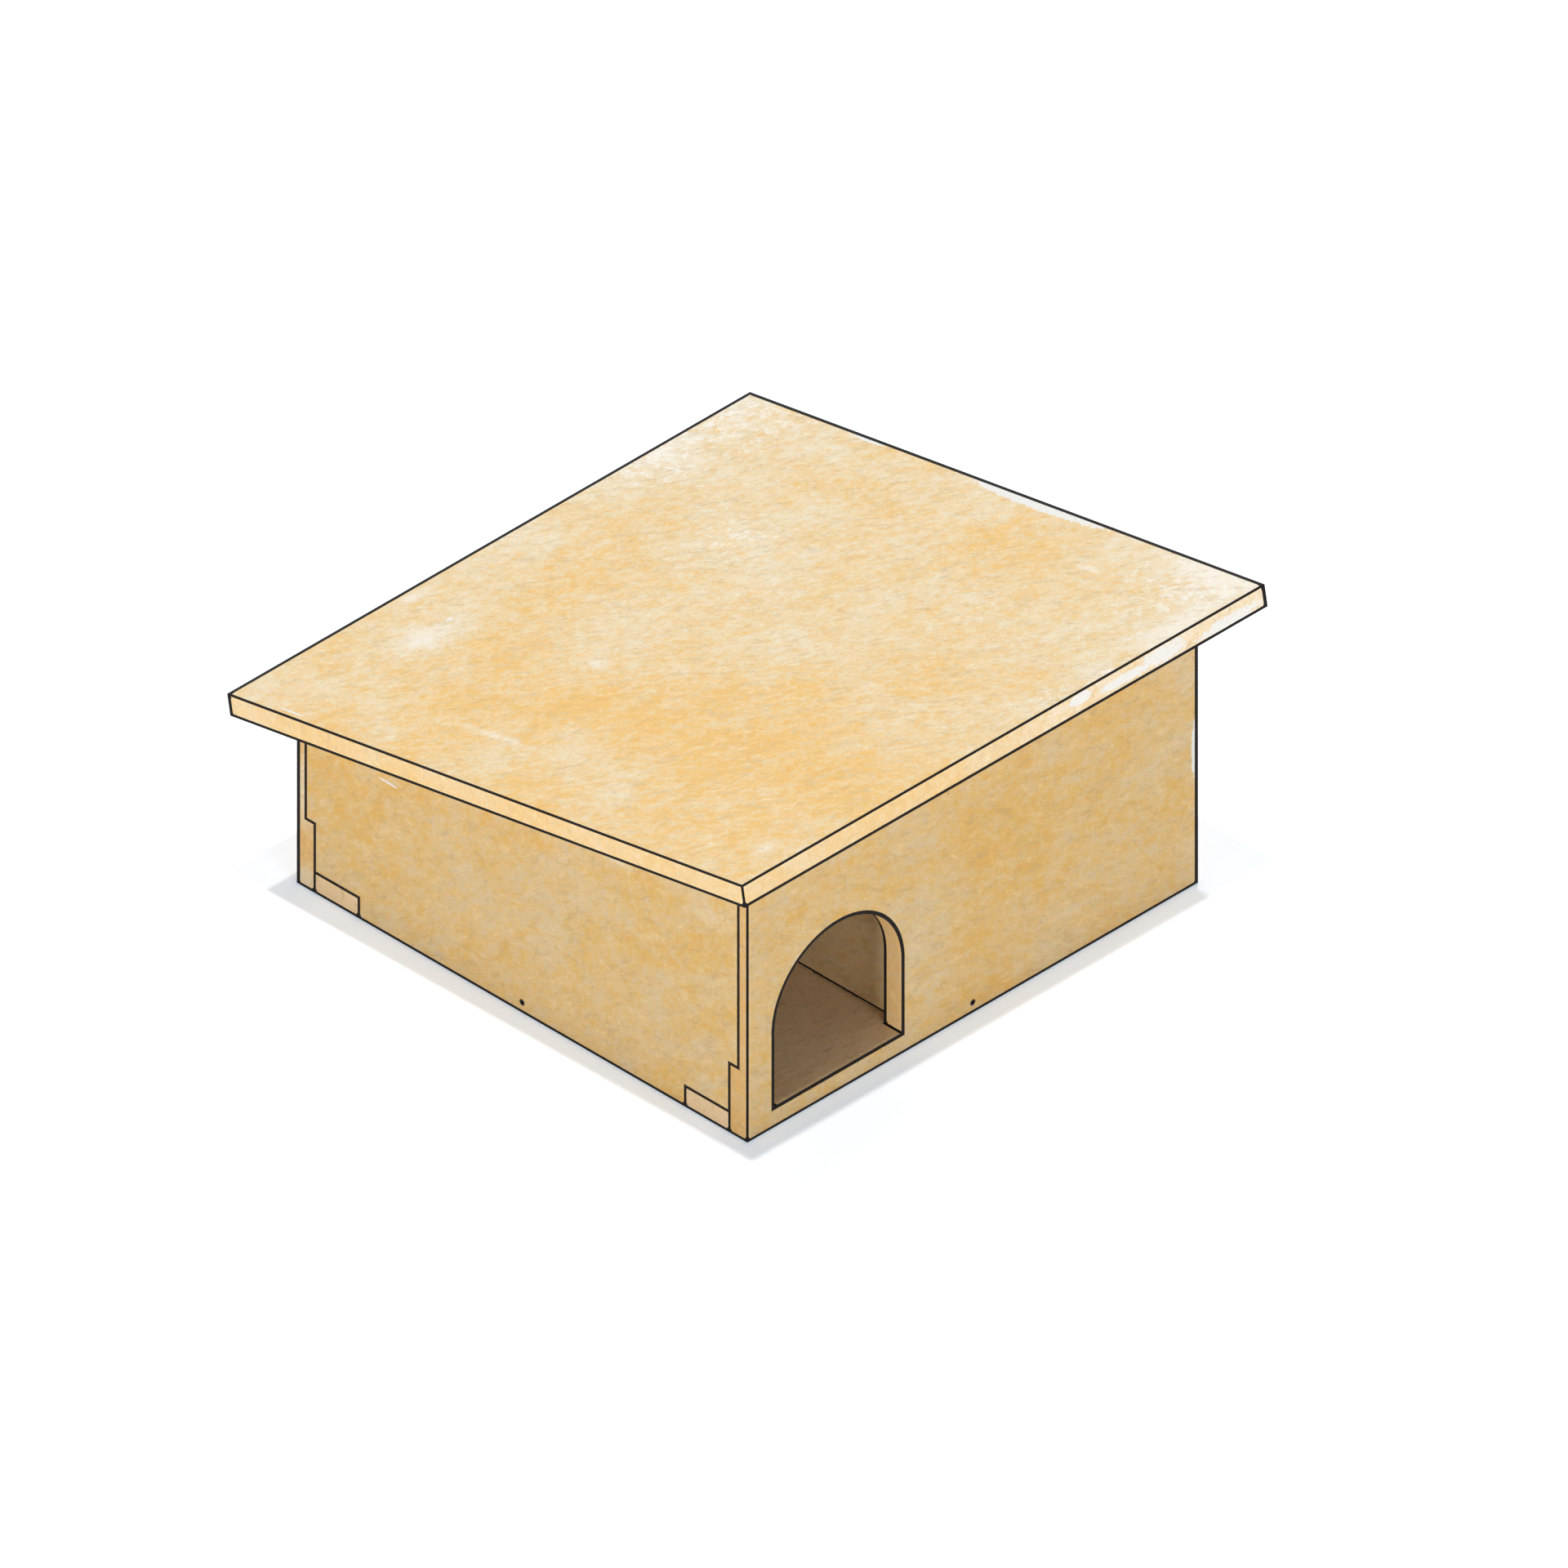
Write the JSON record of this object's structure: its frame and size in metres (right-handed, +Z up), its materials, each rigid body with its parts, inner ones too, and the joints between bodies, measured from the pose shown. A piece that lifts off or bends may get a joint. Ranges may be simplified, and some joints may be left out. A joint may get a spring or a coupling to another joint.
{
  "type": "hedgehog house",
  "caption": "Low square plywood shelter for a hedgehog, with an arched doorway at one side of its front, an inside wall that turns the way in, and a pitched overhanging lift-off roof.",
  "frame": {"origin": "on the ground, under the middle of the house and of its roof", "axes": "+Z up, +X along the front wall with the doorway towards -X, +Y from the front wall to the back wall, down the roof's slope"},
  "size_m": [0.522, 0.5172, 0.2553],
  "materials": {
    "wall_plywood": "birch plywood with a thin honey-coloured wood wash, matt, darker at the cut edges",
    "roof_plywood": "birch plywood with a thin cream and honey wood wash, matt, worn pale near the roof's edges",
    "screws": "small-headed black-coated steel wood screws, satin"
  },
  "bodies": {
    "house": {"floor_board": "wall_plywood", "front_wall": "wall_plywood", "back_wall": "wall_plywood", "left_wall": "wall_plywood", "right_wall": "wall_plywood", "inside_wall": "wall_plywood", "wall_screws": "screws"},
    "roof": {"roof_board": "roof_plywood", "left_batten": "roof_plywood", "right_batten": "roof_plywood", "batten_screws": "screws"}
  },
  "joints": [
    {"name": "roof_lift", "type": "slide", "parent": "house", "child": "roof", "axis": [0, 0, 1], "range_m": [0, 0.2]}
  ]
}
